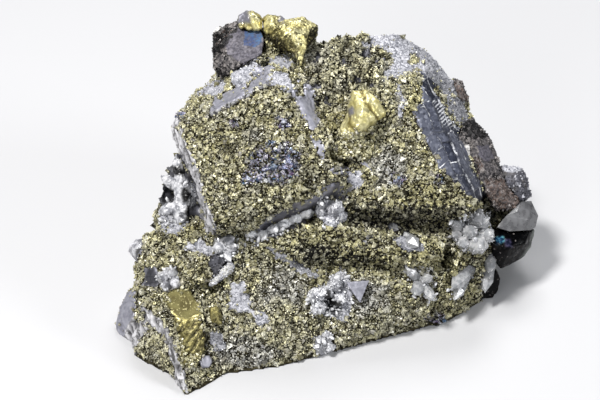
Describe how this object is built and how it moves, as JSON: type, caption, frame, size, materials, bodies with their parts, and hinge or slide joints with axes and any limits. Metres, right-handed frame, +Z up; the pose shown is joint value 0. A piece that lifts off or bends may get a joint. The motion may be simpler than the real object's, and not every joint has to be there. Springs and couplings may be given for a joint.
{
  "type": "chalcopyrite on galena",
  "caption": "Hand-sized mineral specimen: galena blocks crusted with small chalcopyrite crystals, with quartz, sphalerite and larger chalcopyrite crystals, resting on a flat cleavage face.",
  "frame": {"origin": "on the flat foot, below the middle of the whole piece", "axes": "+Z up from the foot, +X to the right as seen from the crusted front, +Y towards the back"},
  "size_m": [0.108, 0.085, 0.0671],
  "materials": {
    "galena": "metallic grey, satin on cleavage faces, crusted with fine chalcopyrite",
    "chalcopyrite": "brassy metallic, wavy growth lines, slightly tarnished",
    "brown_sphalerite": "resinous to dull, mauve grey to red brown",
    "black_sphalerite": "glossy black with a thin iridescent film in places",
    "clear_quartz": "clear to cloudy, glassy",
    "milky_quartz": "white, translucent, satin"
  },
  "bodies": {
    "root": {"chalcopyrite_centre": "chalcopyrite", "chalcopyrite_chip": "chalcopyrite", "chalcopyrite_corner": "chalcopyrite", "chalcopyrite_crest": "chalcopyrite", "chalcopyrite_knob_left": "chalcopyrite", "chalcopyrite_knob_right": "chalcopyrite", "galena_button": "galena", "galena_cube": "galena", "galena_knob": "galena", "galena_mass": "galena", "galena_plate": "galena", "quartz_blade": "clear_quartz", "quartz_bottom": "clear_quartz", "quartz_boxwork": "clear_quartz", "quartz_fan": "clear_quartz", "quartz_flank": "clear_quartz", "quartz_junction": "clear_quartz", "quartz_lens": "clear_quartz", "quartz_nest": "clear_quartz", "quartz_nodule": "milky_quartz", "quartz_pocket": "clear_quartz", "quartz_point": "clear_quartz", "quartz_seam": "clear_quartz", "quartz_spray": "clear_quartz", "quartz_strip": "clear_quartz", "quartz_vein": "milky_quartz", "quartz_white": "clear_quartz", "sphalerite_black": "black_sphalerite", "sphalerite_crest": "brown_sphalerite", "sphalerite_edge": "brown_sphalerite", "sphalerite_flank": "brown_sphalerite", "sphalerite_lower": "black_sphalerite"}
  },
  "joints": []
}
